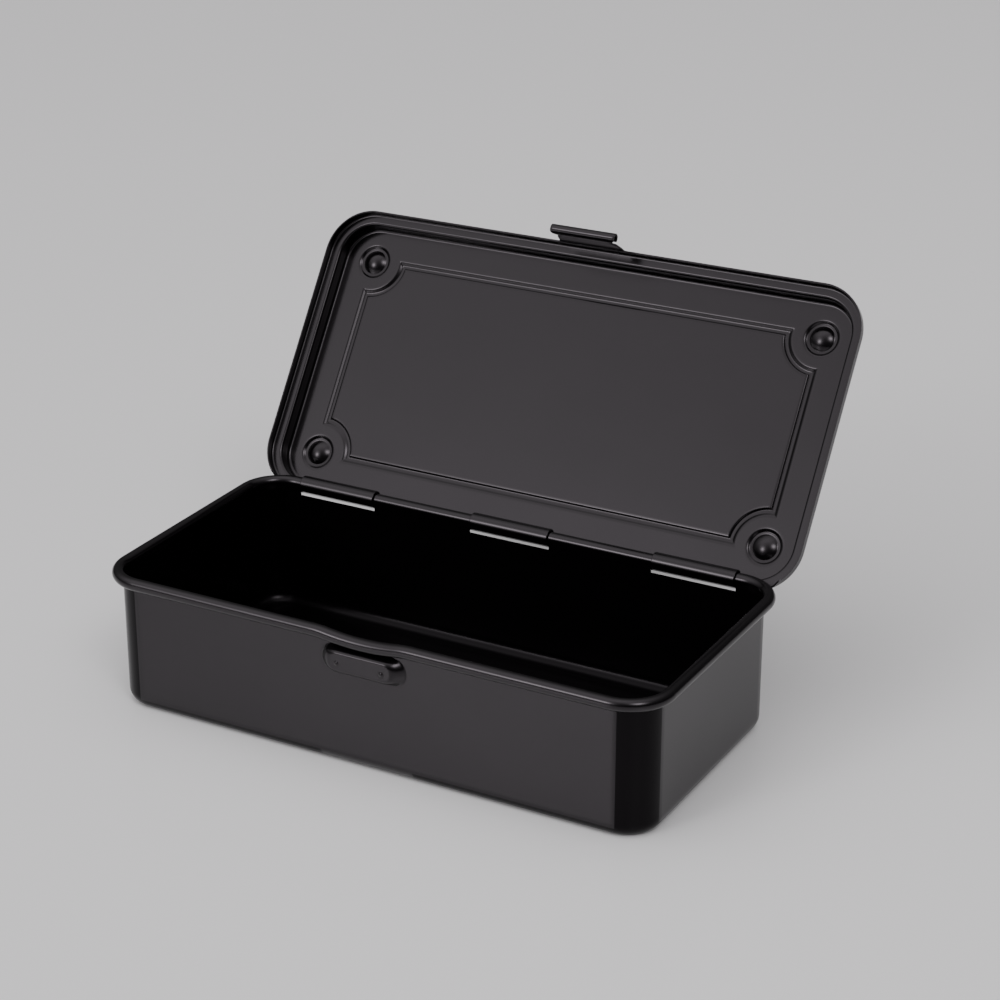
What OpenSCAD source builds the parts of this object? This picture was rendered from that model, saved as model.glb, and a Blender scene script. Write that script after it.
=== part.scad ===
// Hinged metal lunch box: a deep-drawn steel tray with a rolled rim, and a pressed lid
// that turns on the rim through three rolled knuckles and closes with a spring tongue.
// Drawn with the lid standing open. Origin: centre of the tray's underside, +Z up,
// +X along the long side, the catch at the front (-Y) and the hinge at the back (+Y).

/* [Tray] */
// Length over the rolled rim
rim_len = 203; // [180:1:230]
// Depth over the rolled rim, front to back
rim_dep = 102.6; // [90:0.1:120]
// Height of the rolled rim's top
rim_h = 48.6; // [40:0.1:60]
// Outside diameter of the rolled rim
rim_d = 4.3; // [4:0.1:4.6]
// Sheet thickness of every pressing
sheet = 0.5; // [0.4:0.05:0.6]
// Distance from the rim's outermost line in to the wall's outer face
wall_inset = 3.55; // [3.4:0.05:3.7]
// Outer radius of the vertical corners
wall_r = 12.2; // [10:0.1:16]
// Outer radius between floor and wall
floor_r = 4.5; // [3:0.1:8]

/* [Catch] */
// Length of the catch pressed out of the front wall
catch_len = 31.4; // [26:0.1:36]
// Height of the catch
catch_h = 10.1; // [8:0.1:10.4]
// Height of the catch's middle above the table
catch_z = 37.75; // [36:0.05:38]
// How far the catch stands out from the wall
catch_out = 3.1; // [2:0.1:3.2]
// Length of the catch's flat face
pad_len = 21.8; // [18:0.1:24]
// Distance between the two pips on the catch's face
pip_pitch = 16.3; // [12:0.1:18]

/* [Lid] */
// Length over the lid's skirt
lid_len = 205.2; // [205:0.1:208]
// Depth over the lid's skirt
lid_dep = 105.6; // [105.4:0.1:108]
// Outer radius of the lid's corners
lid_r = 16.5; // [14:0.1:17]
// Angle that the lid opens to, from closed
lid_open = 124.9; // [90:0.1:125]
// Width of the shelf that rests on the rim, skirt included
shelf_w = 4.3; // [4:0.1:5]
// Height of the lid's inside face above the hinge axis
lid_rise = 8.05; // [7:0.05:10]
// How far the ridge and the four feet stand up from the lid's top
ridge_h = 0.7; // [0.4:0.1:1]
// Width of the ridge
ridge_w = 2.75; // [2:0.05:4]
// Distance between the feet along the lid
foot_pitch_x = 173.3; // [160:0.1:180]
// Distance between the feet across the lid
foot_pitch_y = 72.5; // [66:0.1:76]

/* [Hinge] */
// Distance between neighbouring knuckles
knuckle_pitch = 68.6; // [60:0.1:75]
// Length of each knuckle
knuckle_len = 29.8; // [24:0.1:32]
// Running gap between the rolled rim and a knuckle
knuckle_gap = 0.35; // [0.25:0.05:0.4]

/* [Latch] */
// Width of the tongue where it leaves the lid
neck_w = 24.2; // [22:0.1:26]
// Width left between the two notches beside the finger curl
notch_gap = 19.6; // [16:0.1:21]
// Width of the finger curl on the tongue's end
curl_w = 24.4; // [22:0.1:28]
// Outside diameter of the finger curl
curl_d = 3.4; // [3:0.1:3.8]
// Distance from the hinge axis down to the curl's middle, lid closed
curl_drop = 9.6; // [9:0.1:11]

/* [Hidden] */
$fn = 96;
tin_black = [0.055, 0.05, 0.055];
eps = 0.01;

// Rim, wall and hinge axis
rim_r = rim_d / 2;
bead_y = rim_dep / 2 - rim_r;
bead_z = rim_h - rim_r;
bead_out = wall_inset - rim_r;
wall_x = rim_len / 2 - wall_inset;
wall_y = rim_dep / 2 - wall_inset;
core_x = wall_x - wall_r;
core_y = wall_y - wall_r;

// The catch's face, a little above its middle, and the pips on it
pad_h = 5.8;
pad_rise = 0.25;
pip_z = 37.45;

// Slots in the back wall that the knuckles pass through
slot_len = knuckle_len + 0.8;
slot_lo = bead_z - 3.8;
slot_hi = bead_z - 1.05;

// Lid section: w is the height above the hinge axis, with the lid closed
knuckle_ri = rim_r + knuckle_gap;
knuckle_ro = knuckle_ri + sheet;
shelf_w_lo = rim_r + 0.25;
shelf_w_hi = shelf_w_lo + sheet;
skirt_lo = -0.65;
skirt_lo_back = 1.2;
skirt_fold = 1.2;
shelf_fold = 1;
top_fold = 1.5;
lid_core_x = lid_len / 2 - lid_r;
lid_core_y = lid_dep / 2 - lid_r;
lid_mid_y = knuckle_ro - lid_dep / 2;
lid_front_y = knuckle_ro - lid_dep;

// Ridge round the lid's panel, notched round each foot
panel_x = 85.3;
panel_y = 35.3;
notch_r = 13.2;
foot_r = 6;
dome_r = 4.25;
dome_h = 1.6;

// Tongue
neck_taper = 0.7;
notch_drop = 7.7;
notch_w = 1.7;
curl_gap = 58;
curl_y = lid_front_y + sheet - curl_d / 2;

module ring(outer, inner) {
    difference() {
        circle(outer);
        circle(inner);
    }
}

// A quarter of a ring, in the quadrant that sx and sy point to
module bend(outer, sx, sy) {
    intersection() {
        ring(outer, outer - sheet);
        translate([sx > 0 ? 0 : -outer, sy > 0 ? 0 : -outer]) square(outer);
    }
}

// The rolled rim's section: x points out of the box, y up, origin at the roll's middle
module roll_section() {
    difference() {
        ring(rim_r, rim_r - sheet);
        polygon([[0, 0], [-3, -1.1], [-3, -5.2]]);
    }
}

// The tray's section without the roll, from a corner's axis outwards
module wall_section(top) {
    square([wall_r - floor_r, sheet]);
    translate([wall_r - floor_r, floor_r]) bend(floor_r, 1, -1);
    translate([wall_r - sheet, floor_r]) square([sheet, top - floor_r]);
}

module tray_section() {
    wall_section(bead_z);
    translate([wall_r + bead_out, bead_z]) roll_section();
}

// Stands a section up along +X, with its outward side towards -Y
module run_front(len) {
    translate([-len / 2, 0, 0]) rotate([90, 0, 90]) linear_extrude(len) mirror([1, 0]) children();
}

module corners(cx, cy) {
    for (q = [[1, 1, 0], [-1, 1, 90], [-1, -1, 180], [1, -1, 270]])
        translate([q[0] * cx, q[1] * cy, 0]) rotate([0, 0, q[2]])
            rotate_extrude(angle = 90) children();
}

// The catch: a rounded bar pressed out of the wall, steep on top and eased below
module catch_form(grow) {
    module slab(len, h, z, depth) {
        translate([0, -wall_y - depth, catch_z + z]) rotate([90, 0, 0])
            linear_extrude(eps) for (s = [-1, 1])
                translate([s * (len - h) / 2, 0]) circle(h / 2 + grow, $fn = 32);
    }
    hull() {
        slab(catch_len, catch_h, 0, -sheet - eps);
        slab(pad_len + 2.7, pad_h + 1.2, pad_rise - 0.07, catch_out - 0.5 + grow);
        slab(pad_len, pad_h, pad_rise, catch_out - eps + grow);
    }
}

module base_tray() {
    color(tin_black) difference() {
        union() {
            corners(core_x, core_y) tray_section();
            translate([-core_x, -core_y, 0]) cube([2 * core_x, 2 * core_y, sheet]);
            for (s = [0, 180]) rotate([0, 0, s + 90]) translate([0, -core_x, 0])
                run_front(2 * core_y) tray_section();
            for (s = [0, 180]) rotate([0, 0, s]) translate([0, -core_y, 0])
                run_front(2 * core_x) tray_section();
            catch_form(0);
            for (s = [-1, 1]) translate([s * pip_pitch / 2, 0.05 - wall_y - catch_out, pip_z])
                rotate([90, 0, 0]) cylinder(r1 = 1, r2 = 0.5, h = 0.42);
        }
        catch_form(-sheet);
        for (k = [-1, 0, 1]) translate([k * knuckle_pitch - slot_len / 2, wall_y - sheet - 0.2, slot_lo])
            cube([slot_len, sheet + 0.3, slot_hi - slot_lo]);
    }
}

// Puts a part drawn with the lid closed, its origin on the hinge axis, at the open pose
module opened() {
    translate([0, bead_y, bead_z]) rotate([-lid_open, 0, 0]) children();
}

// The lid's section from a corner's axis outwards
module lid_section(skirt_end) {
    wall_out = lid_r - shelf_w + sheet;
    top = lid_rise + sheet;
    translate([lid_r - sheet, skirt_end]) square([sheet, shelf_w_hi - skirt_fold - skirt_end]);
    translate([lid_r - skirt_fold, shelf_w_hi - skirt_fold]) bend(skirt_fold, 1, 1);
    translate([wall_out - sheet + shelf_fold, shelf_w_lo])
        square([shelf_w - skirt_fold - shelf_fold, sheet]);
    translate([wall_out - sheet + shelf_fold, shelf_w_lo + shelf_fold]) bend(shelf_fold, -1, -1);
    translate([wall_out - sheet, shelf_w_lo + shelf_fold])
        square([sheet, top - top_fold - shelf_w_lo - shelf_fold]);
    translate([wall_out - top_fold, top - top_fold]) bend(top_fold, 1, 1);
    translate([0, lid_rise]) square([wall_out - top_fold, sheet]);
}

// The panel's outline, grown by g: a rectangle with a concave quarter round at each foot
module panel_outline(g) {
    difference() {
        square([2 * (panel_x + g), 2 * (panel_y + g)], center = true);
        for (sx = [-1, 1], sy = [-1, 1])
            translate([sx * foot_pitch_x / 2, sy * foot_pitch_y / 2]) circle(notch_r - g);
    }
}

module each_foot() {
    for (sx = [-1, 1], sy = [-1, 1])
        translate([sx * foot_pitch_x / 2, sy * foot_pitch_y / 2, lid_rise]) children();
}

// Section of a stacking foot: a raised ring with a dome pressed back into the box
module foot_section() {
    ball = (dome_r * dome_r + dome_h * dome_h) / (2 * dome_h);
    translate([dome_r - 0.2, ridge_h]) square([foot_r - dome_r + 0.2, sheet]);
    translate([foot_r - sheet, 0]) square([sheet, ridge_h + sheet]);
    intersection() {
        translate([0, ridge_h + ball - dome_h]) ring(ball, ball - sheet);
        translate([0, ridge_h - dome_h]) square([dome_r, dome_h + 0.1]);
    }
}

// The pressed sheet without its feet: skirt, shelf, wall, top and the ridge round the panel
module lid_sheet() {
    difference() {
        union() {
            corners(lid_core_x, lid_core_y) lid_section(skirt_lo);
            for (s = [0, 180]) rotate([0, 0, s + 90]) translate([0, -lid_core_x, 0])
                run_front(2 * lid_core_y) lid_section(skirt_lo);
            translate([0, -lid_core_y, 0]) run_front(2 * lid_core_x) lid_section(skirt_lo);
            rotate([0, 0, 180]) translate([0, -lid_core_y, 0]) run_front(2 * lid_core_x)
                lid_section(skirt_lo_back);
            translate([-lid_core_x, -lid_core_y, lid_rise])
                cube([2 * lid_core_x, 2 * lid_core_y, sheet]);
            translate([0, 0, lid_rise]) linear_extrude(sheet + ridge_h) difference() {
                panel_outline(ridge_w + sheet);
                panel_outline(-sheet);
            }
        }
        translate([0, 0, lid_rise - 1]) linear_extrude(ridge_h + 1) difference() {
            panel_outline(ridge_w);
            panel_outline(0);
        }
        each_foot() translate([0, 0, -1]) cylinder(r = foot_r - sheet, h = 4);
        // The skirt stops short at the back corners, so that it clears the tray's wall
        translate([-lid_len, lid_dep / 2 - 4, skirt_lo - 1])
            cube([2 * lid_len, 8, skirt_lo_back + 1 - skirt_lo]);
    }
}

module lid_shell() {
    color(tin_black) opened() translate([0, lid_mid_y, 0]) {
        lid_sheet();
        each_foot() rotate_extrude() foot_section();
    }
}

// A tab from the lid's back edge, rolled round the rim through its slot
module knuckle(x) {
    wrap = 215;
    color(tin_black) opened() translate([x - knuckle_len / 2, 0, 0]) rotate([90, 0, 90])
        linear_extrude(knuckle_len) {
            translate([knuckle_ri, 0]) square([sheet, skirt_lo_back]);
            difference() {
                ring(knuckle_ro, knuckle_ri);
                polygon([[0, 0], [8, 0], [8, 8], [-8, 8], [-8, 8 * tan(wrap - 180)]]);
            }
        }
}

// The tongue: it tapers a little, narrows at a notch on either side, and ends in the curl
module latch_tongue() {
    color(tin_black) opened() {
        translate([0, lid_front_y + sheet, 0]) rotate([90, 0, 0]) linear_extrude(sheet) difference() {
            polygon([[-neck_w / 2, skirt_lo], [neck_w / 2, skirt_lo],
                     [neck_w / 2 - neck_taper, notch_w - notch_drop], [curl_w / 2, -notch_w - notch_drop],
                     [curl_w / 2, -curl_drop], [-curl_w / 2, -curl_drop],
                     [-curl_w / 2, -notch_w - notch_drop], [neck_taper - neck_w / 2, notch_w - notch_drop]]);
            for (s = [-1, 1]) translate([s * (notch_gap / 2 + notch_w), -notch_drop]) circle(notch_w);
        }
        translate([-curl_w / 2, curl_y, -curl_drop]) rotate([90, 0, 90])
            linear_extrude(curl_w) difference() {
                ring(curl_d / 2, curl_d / 2 - sheet);
                polygon([[0, 0], [8, 0], [8, 8 * tan(curl_gap)]]);
            }
    }
}

base_tray();
lid_shell();
knuckle(-knuckle_pitch);  // hinge_knuckle_left
knuckle(0);  // hinge_knuckle_center
knuckle(knuckle_pitch);  // hinge_knuckle_right
latch_tongue();
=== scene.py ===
import math

import bmesh
import bpy
from mathutils import Matrix, Vector


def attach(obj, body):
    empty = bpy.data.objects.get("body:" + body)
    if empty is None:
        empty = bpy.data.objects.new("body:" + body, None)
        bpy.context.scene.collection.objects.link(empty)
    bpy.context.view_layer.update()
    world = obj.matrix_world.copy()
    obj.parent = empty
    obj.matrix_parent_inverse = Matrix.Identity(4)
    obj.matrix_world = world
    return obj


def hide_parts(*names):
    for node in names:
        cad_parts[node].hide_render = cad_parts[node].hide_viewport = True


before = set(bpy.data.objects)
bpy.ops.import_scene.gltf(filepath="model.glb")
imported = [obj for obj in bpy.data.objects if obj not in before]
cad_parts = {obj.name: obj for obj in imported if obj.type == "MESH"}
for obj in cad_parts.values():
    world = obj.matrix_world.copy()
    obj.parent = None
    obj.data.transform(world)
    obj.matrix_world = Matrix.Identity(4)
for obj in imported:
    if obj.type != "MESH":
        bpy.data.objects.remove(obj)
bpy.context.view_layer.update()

MM = 0.001
SHEET = 0.5
# Points nearer than WELD are one point. Edges sharper than CUT_ANGLE are cut edges, eased by
# EDGE_R, and shading breaks at edges sharper than SHARP_ANGLE.
WELD, CUT_ANGLE, SHARP_ANGLE = 1e-4, 62, 50
EDGE_R, TRAY_AND_LID_EDGE_R, KNUCKLE_EDGE_R = 0.13, 0.12, 0.19

# Tray, in millimetres in the row frame. Sections are drawn on the sheet's middle surface:
# s is the distance out from the wall's outer face, z the height.
CORE_X, CORE_Y, WALL_R = 85.75, 35.55, 12.2
WALL_Y = CORE_Y + WALL_R
BEAD_Y, BEAD_Z, BEAD_OUT, BEAD_MID = 49.15, 46.45, 1.4, 1.9
FLOOR_R = 4.5
SLOT_X, SLOT_HALF, SLOT_LO, SLOT_HI = 68.6, 15.3, 42.65, 45.4
DIP, DIP_HALF, DIP_SPLIT = 1.3, 18.2, 12.13

# Catch pressed out of the front wall
CATCH_Z, CATCH_SEG, CATCH_R, CATCH_OUT = 37.75, 10.65, 5.05, 3.1
PAD_X, PAD_LO, PAD_HI, PAD_R = 10.6, 35.3, 40.5, 2.0
PIP_X, PIP_Z, PIP_R, PIP_H = 8.13, 37.45, 0.65, 0.42

# Lid, drawn closed: y is measured from the hinge axis, w is the height above it
LID_OPEN = 124.9
LID_HALF_X, LID_HALF_Y, LID_R = 102.6, 52.8, 16.5
LID_MID_Y, LID_FRONT_Y = 3.0 - 52.8, 3.0 - 105.6
LID_TOP = 8.3
SKIRT_LO, SKIRT_LO_BACK = -0.65, 1.2
PANEL_X, PANEL_Y, NOTCH_R, RIDGE_H = 85.3, 35.3, 13.2, 0.7
FOOT_X, FOOT_Y = 86.65, 36.25
KNUCKLE_HALF, KNUCKLE_MID = 14.9, 2.75
CURL_HALF, CURL_MID, CURL_DROP, CURL_TURN, CURL_SHOULDER, BOW = 12.2, 1.45, 9.6, 301, 0.75, 0.35
# Half the tongue's width at each height, from the lid's edge to where the curl begins
NECK = ((-0.65, 12.9), (-0.75, 12.6), (-0.95, 12.35), (-1.3, 12.2), (-2.0, 12.08), (-3.0, 11.9),
        (-4.2, 11.68), (-5.2, 11.5), (-5.75, 11.3), (-6.05, 11.0), (-6.3, 10.55), (-6.6, 10.15),
        (-7.0, 9.88), (-7.4, 9.8), (-7.9, 9.82), (-8.3, 9.98), (-8.7, 10.3), (-9.05, 10.75), (-9.35, 11.2))

OPENED = (Matrix.Translation((0, BEAD_Y, BEAD_Z))
          @ Matrix.Rotation(math.radians(-LID_OPEN), 4, "X"))


def smooth(t):
    t = max(0.0, min(1.0, t))
    return t * t * (3 - 2 * t)


def spread(a, b, n):
    return [a + (b - a) * i / n for i in range(n + 1)]


def arc(cx, cy, r, a0, a1, n):
    return [(cx + r * math.cos(math.radians(a)), cy + r * math.sin(math.radians(a)))
            for a in spread(a0, a1, n)]


def marks(*parts):
    """Joins lists of numbers into one rising list without doubles."""
    out = []
    for v in sorted(x for p in parts for x in p):
        if not out or v - out[-1] > 1e-4:
            out.append(v)
    return out


def stations(cx, cy, front, back, side, turn):
    """The stations round a rounded rectangle: core point and outward normal, from front left."""
    out = [((x, -cy), (0, -1)) for x in front]
    for q, (px, py) in enumerate(((cx, -cy), (cx, cy), (-cx, cy), (-cx, -cy))):
        for i in range(1, turn):
            a = math.radians(-90 + 90 * q + 90 * i / turn)
            out.append(((px, py), (math.cos(a), math.sin(a))))
        if q == 0:
            out += [((cx, y), (1, 0)) for y in side]
        elif q == 1:
            out += [((x, cy), (0, 1)) for x in reversed(back)]
        elif q == 2:
            out += [((-cx, y), (-1, 0)) for y in reversed(side)]
    return out


class Sheet:
    """Collects the points and faces of a pressed sheet's middle surface."""

    def __init__(self, name):
        self.name, self.points, self.faces = name, [], []

    def grid(self, rows, closed, skip=None):
        base, n = len(self.points), len(rows[0])
        for row in rows:
            self.points += row
        for i in range(len(rows) - 1):
            for j in range(n if closed else n - 1):
                if skip and skip(i, j):
                    continue
                k = (j + 1) % n
                self.faces.append((base + i * n + j, base + i * n + k,
                                   base + (i + 1) * n + k, base + (i + 1) * n + j))
        return base

    def face(self, ids):
        self.faces.append(tuple(ids))

    def mesh(self, fill=None):
        """The sheet as a bmesh; fill lists loops of points whose common face is filled with triangles."""
        bm = bmesh.new()
        vs = [bm.verts.new(p) for p in self.points]
        for f in self.faces:
            bm.faces.new([vs[i] for i in f])
        if fill:
            edges = []
            for ids in fill:
                for j, first in enumerate(ids):
                    a, b = vs[first], vs[ids[(j + 1) % len(ids)]]
                    edges.append(bm.edges.get((a, b)) or bm.edges.new((a, b)))
            bmesh.ops.triangle_fill(bm, use_beauty=True, use_dissolve=False, edges=edges, normal=(0, 0, 1))
        bmesh.ops.remove_doubles(bm, verts=bm.verts, dist=WELD)
        return bm


def finish_sheet(name, bm, place, body, node, keep_edge, edge_r=EDGE_R):
    """Gives the middle surface its thickness, eases the cut edges and puts the piece in the frame."""
    bmesh.ops.recalc_face_normals(bm, faces=bm.faces)
    me = bpy.data.meshes.new(name)
    bm.to_mesh(me)
    bm.free()
    ob = bpy.data.objects.new(name, me)
    bpy.context.collection.objects.link(ob)
    solid = ob.modifiers.new("thickness", "SOLIDIFY")
    solid.thickness, solid.offset = SHEET, 0
    solid.use_even_offset = True
    apply_modifiers(ob)
    bm = bmesh.new()
    bm.from_mesh(ob.data)
    cut = [e for e in bm.edges if len(e.link_faces) == 2
           and e.calc_face_angle(0) > math.radians(CUT_ANGLE)
           and not (keep_edge(*e.verts[0].co) and keep_edge(*e.verts[1].co))]
    bmesh.ops.bevel(bm, geom=cut, offset=edge_r, offset_type="OFFSET", segments=2,
                    profile=0.5, affect="EDGES", clamp_overlap=True)
    bmesh.ops.recalc_face_normals(bm, faces=bm.faces)
    bm.transform(Matrix.Scale(MM, 4) @ place)
    bm.to_mesh(ob.data)
    bm.free()
    for p in ob.data.polygons:
        p.use_smooth = True
    ob.data.set_sharp_from_angle(angle=math.radians(SHARP_ANGLE))
    weighted = ob.modifiers.new("normals", "WEIGHTED_NORMAL")
    weighted.keep_sharp, weighted.weight = True, 90
    apply_modifiers(ob)
    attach(ob, body)
    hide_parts(node)
    return ob


def apply_modifiers(ob):
    bpy.context.view_layer.update()
    graph = bpy.context.evaluated_depsgraph_get()
    me = bpy.data.meshes.new_from_object(ob.evaluated_get(graph), depsgraph=graph)
    ob.modifiers.clear()
    old, ob.data = ob.data, me
    bpy.data.meshes.remove(old)


# ---------------------------------------------------------------- tray
def dip_at(x):
    """How far the front rim dips at x: a hollow arc in the middle, eased by a round arc at each end."""
    x = abs(x)
    if x >= DIP_HALF:
        return 0.0
    turn = 2 * math.atan(DIP / DIP_HALF)
    r_mid = DIP_SPLIT / math.sin(turn)
    r_end = (DIP_HALF - DIP_SPLIT) / math.sin(turn)
    if x <= DIP_SPLIT:
        return DIP - (r_mid - math.sqrt(r_mid ** 2 - x * x))
    return r_end - math.sqrt(r_end ** 2 - (DIP_HALF - x) ** 2)


def flank(t, hollow=0.22, round_over=0.55):
    """Rises from 0 to 1: a small hollow at the foot, a straight flank, and a rounded shoulder."""
    pitch = 1 / (1 - hollow / 2 - round_over / 2)
    if t < hollow:
        return pitch * t * t / (2 * hollow)
    if t > 1 - round_over:
        return 1 - pitch * (1 - t) ** 2 / (2 * round_over)
    return pitch * (t - hollow / 2)


def catch_at(x, z):
    """How far the catch stands out of the wall at (x, z)."""
    dx, dz = max(0.0, abs(x) - CATCH_SEG), z - CATCH_Z
    inside = CATCH_R - math.hypot(dx, dz)
    if inside <= 0:
        return 0.0
    px = max(0.0, abs(x) - (PAD_X - PAD_R))
    pz = max(0.0, z - (PAD_HI - PAD_R), (PAD_LO + PAD_R) - z)
    to_pad = max(0.0, math.hypot(px, pz) - PAD_R)
    out = CATCH_OUT * flank(inside / (inside + to_pad)) if to_pad else CATCH_OUT
    pip = math.hypot(abs(x) - PIP_X, z - PIP_Z) / PIP_R
    if pip < 2:
        out += PIP_H * math.exp(-(pip * 1.1) ** 2)
    return out


def build_tray():
    section = [(-FLOOR_R - 0.8, SHEET / 2)]
    section += [(-FLOOR_R + 4.25 * math.sin(math.radians(a)), FLOOR_R - 4.25 * math.cos(math.radians(a)))
                for a in spread(0, 90, 12)]
    section += [(-0.25, z) for z in marks([5.0, 8, 14, 20, 26, 30, 31.5], spread(32, 43.4, 57), [SLOT_LO])
                if z > FLOOR_R]
    section += [(-0.25 - 0.25 * smooth((z - 43.4) / 3.05), z)
                for z in marks(spread(43.4, BEAD_Z, 6)[1:-1], [SLOT_HI])]
    section += arc(BEAD_OUT, BEAD_Z, BEAD_MID, 180, -125, 44)
    front = marks([-CORE_X, CORE_X], spread(-CORE_X, -19, 16), spread(19, CORE_X, 16), spread(-19, 19, 150))
    slots = [k * SLOT_X + e for k in (-1, 0, 1) for e in (-SLOT_HALF, SLOT_HALF)]
    back = marks(spread(-CORE_X, CORE_X, 30), slots, [v + d for v in slots for d in (-0.5, 0.5)])
    side = spread(-CORE_Y, CORE_Y, 12)
    line = stations(CORE_X, CORE_Y, front, back, side, 20)
    rows = []
    for s, z in section:
        row = []
        for (px, py), (nx, ny) in line:
            x, y, h = px + nx * (WALL_R + s), py + ny * (WALL_R + s), z
            if ny == -1:
                h -= dip_at(x) * smooth((z - 38.5) / 5.0)
                if z < 44:
                    y -= catch_at(x, h) * (1 - smooth((z - 43.2) / 0.6))
            row.append((x, y, h))
        rows.append(row)

    def in_slot(i, j):
        (px, _), (_, ny) = line[j]
        qx, qn = line[(j + 1) % len(line)][0][0], line[(j + 1) % len(line)][1][1]
        if ny < 0.999 or qn < 0.999:
            return False
        low, high = section[i][1], section[i + 1][1]
        if low < SLOT_LO - 1e-3 or high > SLOT_HI + 1e-3 or section[i][0] > 0:
            return False
        mid = (px + qx) / 2
        return any(abs(mid - k * SLOT_X) < SLOT_HALF for k in (-1, 0, 1))

    sheet = Sheet("tray")
    sheet.grid(rows, True, in_slot)
    sheet.face(range(len(line)))
    return finish_sheet("tray", sheet.mesh(), Matrix.Identity(4), "base", "base_tray",
                        keep_edge=lambda x, y, z: z < SLOT_HI + 0.1 and y > WALL_Y - 1,
                        edge_r=TRAY_AND_LID_EDGE_R)


# ---------------------------------------------------------------- lid
def outline(g):
    """The panel's outline grown by g: a rectangle with a hollow quarter round at each foot."""
    r, pts = NOTCH_R - g, []
    for sx, sy in ((1, 1), (-1, 1), (-1, -1), (1, -1)):
        dx, dy = FOOT_X - PANEL_X - g, FOOT_Y - PANEL_Y - g
        a0 = math.atan2(-math.sqrt(r * r - dx * dx), -dx)
        a1 = math.pi + math.asin(dy / r) - 2 * math.pi
        quarter = [(FOOT_X + r * math.cos(a0 + (a1 - a0) * t), FOOT_Y + r * math.sin(a0 + (a1 - a0) * t))
                   for t in spread(0, 1, 20)]
        if sx * sy < 0:
            quarter.reverse()
        pts += [(sx * x, sy * y) for x, y in quarter]
    return pts


# Height of the ridge, away from the box, at each distance out from the panel's own edge
RIDGE = ((-0.9, 0), (-0.3, 0), (-0.08, 0.06), (0.1, 0.3), (0.26, 0.58), (0.42, 0.69), (0.65, 0.7),
         (1.25, 0.7), (1.55, 0.665), (1.85, 0.545), (2.15, 0.35), (2.45, 0.155), (2.7, 0.035),
         (2.95, 0), (3.5, 0))
# Depth of a foot below the plate at each radius, and of its dome, which stands back up
FOOT = ((7.2, 0), (6.5, 0), (6.25, 0.03), (6.0, 0.16), (5.7, 0.42), (5.45, 0.63), (5.25, 0.71), (5.1, 0.72),
        (4.75, 0.72), (4.6, 0.74), (4.4, 0.78), (4.28, 0.76))
DOME_R, DOME_H = 4.25, 1.6


def build_lid():
    section = [(-0.25, None), (-0.25, None), (-0.25, 1.35)]
    section += [(-1.2 + 0.95 * math.cos(math.radians(a)), 1.7 + 0.95 * math.sin(math.radians(a)))
                for a in spread(0, 90, 9)]
    section += [(-2.2, 2.65)]
    section += arc(-3.3, 3.4, 0.75, -90, -180, 8)
    section += [(-4.05, 3.75), (-4.05, 5.2), (-4.05, 6.7)]
    section += arc(-5.3, 7.05, 1.25, 0, 90, 9)
    section += [(-5.6, LID_TOP), (-6.3, LID_TOP)]
    cx, cy = LID_HALF_X - LID_R, LID_HALF_Y - LID_R
    line = stations(cx, cy, spread(-cx, cx, 40), spread(-cx, cx, 40), spread(-cy, cy, 16), 22)
    rows = []
    for i, (s, w) in enumerate(section):
        row = []
        for (px, py), (nx, ny) in line:
            x, y = px + nx * (LID_R + s), py + ny * (LID_R + s)
            if w is None:
                low = SKIRT_LO + (SKIRT_LO_BACK - SKIRT_LO) * smooth((y - (LID_HALF_Y - 4.6)) / 0.9)
                h = low if i == 0 else (low + 1.35) / 2
            else:
                h = w
            row.append((x, LID_MID_Y + y, h))
        rows.append(row)
    sheet = Sheet("lid")
    base = sheet.grid(rows, True)
    n, last = len(line), len(section) - 1
    rim = [base + last * n + j for j in range(n)]
    ridge = [[(x, LID_MID_Y + y, LID_TOP + h) for x, y in outline(g)] for g, h in RIDGE]
    start = sheet.grid(ridge, True)
    m = len(ridge[0])
    sheet.face(start + j for j in range(m))
    outer = [start + (len(RIDGE) - 1) * m + j for j in range(m)]
    ball = (DOME_R ** 2 + DOME_H ** 2) / (2 * DOME_H)
    edge = math.degrees(math.asin(DOME_R / ball))
    profile = list(FOOT)
    for a in spread(edge, 0, 12)[1:-1]:
        r = ball * math.sin(math.radians(a))
        profile.append((r, 0.75 - DOME_H + ball - ball * math.cos(math.radians(a))))
    holes = []
    for sx in (-1, 1):
        for sy in (-1, 1):
            fx, fy = sx * FOOT_X, LID_MID_Y + sy * FOOT_Y
            turn = [math.radians(a) for a in spread(0, 360, 48)[:-1]]
            ring = [[(fx + r * math.cos(a), fy + r * math.sin(a), LID_TOP + d) for a in turn]
                    for r, d in profile]
            first = sheet.grid(ring, True)
            holes.append([first + j for j in range(48)])
            tip = len(sheet.points)
            sheet.points.append((fx, fy, LID_TOP + 0.75 - DOME_H))
            low = first + (len(profile) - 1) * 48
            for j in range(48):
                sheet.face((low + j, low + (j + 1) % 48, tip))
    return finish_sheet("lid", sheet.mesh([rim, outer] + holes), OPENED, "lid", "lid_shell", joined,
                        TRAY_AND_LID_EDGE_R)


def joined(x, y, w):
    """Whether a point lies where the tongue or a knuckle grows out of the lid's skirt."""
    front = abs(y - LID_FRONT_Y) < 0.6 and abs(x) < NECK[0][1] + 0.4 and abs(w - SKIRT_LO) < 0.05
    back = (abs(y - KNUCKLE_MID) < 0.3 and abs(w - SKIRT_LO_BACK) < 0.05
            and any(abs(x - k * SLOT_X) < KNUCKLE_HALF + 0.4 for k in (-1, 0, 1)))
    return front or back


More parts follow.
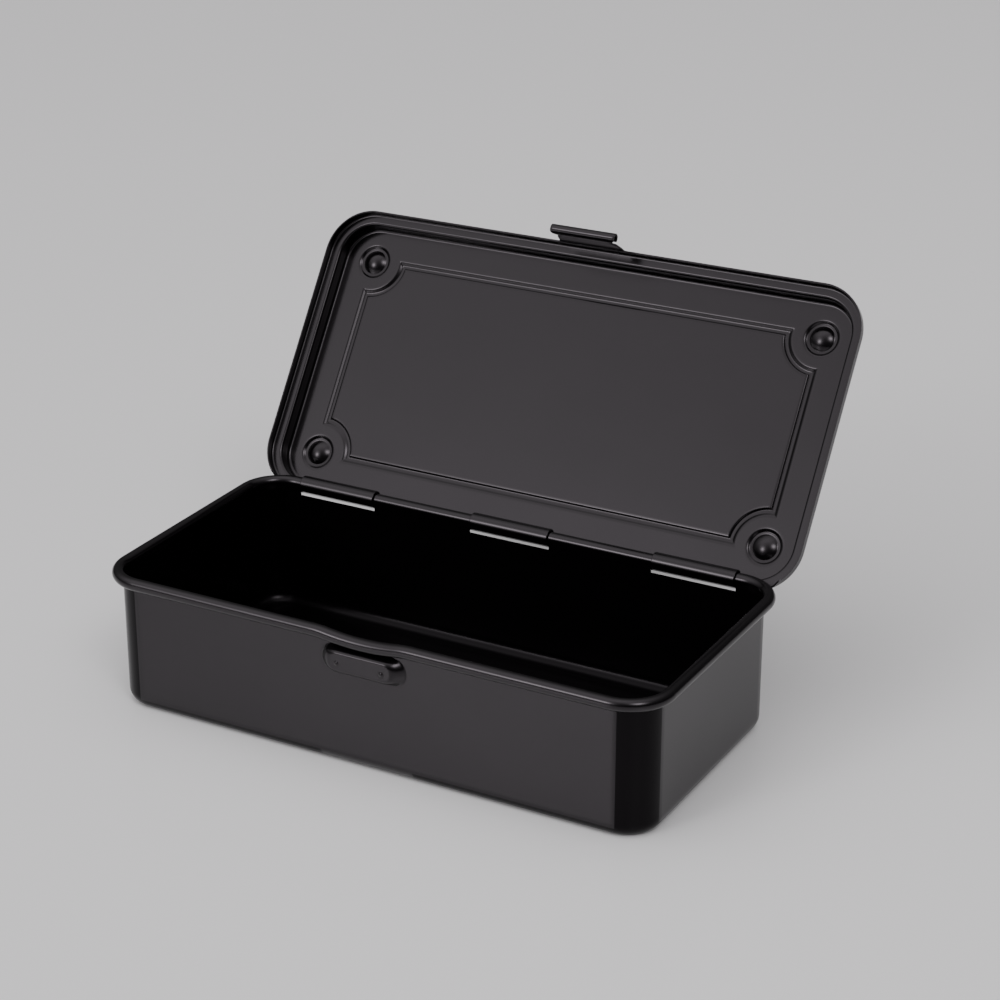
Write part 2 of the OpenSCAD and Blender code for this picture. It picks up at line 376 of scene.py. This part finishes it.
# ---------------------------------------------------------------- knuckles
def build_knuckle(name, x0):
    path = [(KNUCKLE_MID, w) for w in (1.2, 0.6)] + arc(0, 0, KNUCKLE_MID, 0, -215, 48)
    xs = marks(spread(-KNUCKLE_HALF, KNUCKLE_HALF, 12), [-KNUCKLE_HALF + 0.3, KNUCKLE_HALF - 0.3])
    sheet = Sheet(name)
    sheet.grid([[(x0 + x, y, w) for x in xs] for y, w in path], False)
    return finish_sheet(name, sheet.mesh(), OPENED, "lid", name, joined, KNUCKLE_EDGE_R)


# ---------------------------------------------------------------- tongue
def build_tongue():
    """The tongue bows outwards a little above the curl, which narrows where it begins."""
    mid = LID_FRONT_Y + SHEET / 2
    sheet = Sheet("tongue")
    across = spread(-1, 1, 24)
    rows = [[(half * u, mid - BOW * smooth(-w / 2.5) * smooth((9.0 + w) / 1.4), w) for u in across]
            for w, half in NECK]
    roll = arc(mid - CURL_MID, -CURL_DROP, CURL_MID, 0, -CURL_TURN, 52)
    for i, (y, w) in enumerate(roll):
        half = CURL_HALF - CURL_SHOULDER * (1 - smooth((i + 1) / 9))
        rows.append([(half * u, y, w) for u in across])
    sheet.grid(rows, False)
    return finish_sheet("tongue", sheet.mesh(), OPENED, "latch", "latch_tongue", joined)


tray = build_tray()
lid = build_lid()
knuckles = [build_knuckle("hinge_knuckle_left", -SLOT_X), build_knuckle("hinge_knuckle_center", 0),
            build_knuckle("hinge_knuckle_right", SLOT_X)]
tongue = build_tongue()


# ---------------------------------------------------------------- paint
def build_paint(name, sheen, gloss_range):
    mat = bpy.data.materials.new(name)
    mat.use_nodes = True
    nt = mat.node_tree
    shader = nt.nodes["Principled BSDF"]
    shader.inputs["Base Color"].default_value = (0.0016, 0.0013, 0.0016, 1)
    shader.inputs["IOR"].default_value = 1.5
    shader.inputs["Specular IOR Level"].default_value = sheen
    shader.inputs["Specular Tint"].default_value = (1, 0.93, 0.99, 1)
    coord = nt.nodes.new("ShaderNodeTexCoord")

    def noise(scale, detail, rough):
        n = nt.nodes.new("ShaderNodeTexNoise")
        n.inputs["Scale"].default_value = scale
        n.inputs["Detail"].default_value = detail
        n.inputs["Roughness"].default_value = rough
        nt.links.new(coord.outputs["Object"], n.inputs["Vector"])
        return n

    patches = noise(38, 4, 0.55)
    gloss = nt.nodes.new("ShaderNodeMapRange")
    gloss.inputs["From Min"].default_value, gloss.inputs["From Max"].default_value = 0.3, 0.7
    gloss.inputs["To Min"].default_value, gloss.inputs["To Max"].default_value = gloss_range
    nt.links.new(patches.outputs["Fac"], gloss.inputs["Value"])
    nt.links.new(gloss.outputs["Result"], shader.inputs["Roughness"])
    peel, wave = noise(950, 2, 0.5), noise(30, 1, 0.4)
    low = nt.nodes.new("ShaderNodeBump")
    low.inputs["Strength"].default_value, low.inputs["Distance"].default_value = 1.0, 0.00012
    nt.links.new(wave.outputs["Fac"], low.inputs["Height"])
    fine = nt.nodes.new("ShaderNodeBump")
    fine.inputs["Strength"].default_value, fine.inputs["Distance"].default_value = 0.6, 0.000004
    nt.links.new(peel.outputs["Fac"], fine.inputs["Height"])
    nt.links.new(low.outputs["Normal"], fine.inputs["Normal"])
    nt.links.new(fine.outputs["Normal"], shader.inputs["Normal"])
    return mat


paint = build_paint("black_enamel_paint", 0.4, (0.16, 0.21))
# A duller copy of the same black enamel that reflects far less: painted shade for the tray's deep inside,
# not a different finish.
painted_shade = build_paint("black_enamel_painted_shade", 0.1, (0.2, 0.26))
for ob in [tray, lid, tongue] + knuckles:
    ob.data.materials.clear()
    ob.data.materials.append(paint)
tray.data.materials.append(painted_shade)
# Faces inside the tray below the rim take the painted-shade copy, darkened as deep shade would darken them.
# Faces near the front middle that face out keep the plain enamel.
for p in tray.data.polygons:
    x, y, z = p.center / MM
    in_painted_shade = abs(x) < CORE_X + WALL_R - 0.2 and abs(y) < WALL_Y - 0.2 and SHEET / 2 < z < 44.5
    if in_painted_shade and not (abs(x) < 17 and y < 0 and p.normal.y < 0):
        p.material_index = 1

# ---------------------------------------------------------------- stage, light and camera
# The floor lies a hair below the tray's underside, so that the two faces don't coincide.
FLOOR_Z, FLOOR_SPAN, FLOOR_SHADE = -0.00005, 12, 0.93
bpy.ops.mesh.primitive_plane_add(size=1, location=(0, 0, FLOOR_Z))
floor = bpy.context.object
floor.name = "floor"
floor.scale = (FLOOR_SPAN, FLOOR_SPAN, 1)
pale = bpy.data.materials.new("pale_floor")
pale.use_nodes = True
pale_shader = pale.node_tree.nodes["Principled BSDF"]
pale_shader.inputs["Base Color"].default_value = (FLOOR_SHADE, FLOOR_SHADE, FLOOR_SHADE, 1)
pale_shader.inputs["Roughness"].default_value = 0.22
pale_shader.inputs["Specular IOR Level"].default_value = 0.7
floor.data.materials.append(pale)


def toward(az, el):
    """The direction az degrees left of straight front and el degrees up."""
    a, e = math.radians(az), math.radians(el)
    return (-math.sin(a) * math.cos(e), -math.cos(a) * math.cos(e), math.sin(e))


# A dim room with soft lights: a small and a wider one to the front left, one to the front right,
# a broad one further left and one overhead. Each is azimuth (left of straight front),
# elevation, tightness, strength.
ROOM_GLOW = 0.06
SOFT_LIGHTS = ((25, 23, 110, 9), (26, 26, 30, 2.4), (-52, 46, 60, 9), (60, 46, 9, 1.05), (0, 86, 5, 1.5))
world = bpy.data.worlds.new("studio")
bpy.context.scene.world = world
world.use_nodes = True
wt = world.node_tree
direction = wt.nodes.new("ShaderNodeTexCoord")


def calc(kind, a, b=0):
    """A math node in the world's tree; a and b are numbers or sockets."""
    node = wt.nodes.new("ShaderNodeMath")
    node.operation = kind
    for socket, value in zip(node.inputs, (a, b)):
        if isinstance(value, (int, float)):
            socket.default_value = value
        else:
            wt.links.new(value, socket)
    return node.outputs[0]


glow = ROOM_GLOW
for light_az, light_el, tight, strength in SOFT_LIGHTS:
    facing = wt.nodes.new("ShaderNodeVectorMath")
    facing.operation = "DOT_PRODUCT"
    facing.inputs[1].default_value = toward(light_az, light_el)
    wt.links.new(direction.outputs["Generated"], facing.inputs[0])
    lobe = calc("EXPONENT", calc("MULTIPLY", calc("SUBTRACT", facing.outputs["Value"], 1), tight))
    glow = calc("ADD", calc("MULTIPLY", lobe, strength), glow)
wt.links.new(glow, wt.nodes["Background"].inputs["Strength"])
wt.nodes["Background"].inputs["Color"].default_value = (1, 0.98, 1, 1)

CAM_AZ, CAM_EL, CAM_ROLL = 29.95, 23.49, -0.49
CAM_AT, CAM_LENS, CAM_SHIFT = (0.38632, -0.66751, 0.40403), 94.09, (0.0565, 0.0194)
az, el, roll = (math.radians(v) for v in (CAM_AZ, CAM_EL, CAM_ROLL))
back = Vector((math.sin(az) * math.cos(el), -math.cos(az) * math.cos(el), math.sin(el)))
right = Vector((math.cos(az), math.sin(az), 0))
up = back.cross(right)
cam_x = right * math.cos(roll) + up * math.sin(roll)
cam_y = up * math.cos(roll) - right * math.sin(roll)
cam_data = bpy.data.cameras.new("camera")
cam_data.sensor_width, cam_data.lens = 36, CAM_LENS
cam_data.shift_x, cam_data.shift_y = CAM_SHIFT
cam_data.clip_start, cam_data.clip_end = 0.01, 50
cam = bpy.data.objects.new("camera", cam_data)
bpy.context.collection.objects.link(cam)
cam.matrix_world = Matrix.Translation(CAM_AT) @ Matrix((cam_x, cam_y, back)).transposed().to_4x4()
bpy.context.scene.camera = cam

bpy.context.view_layer.update()
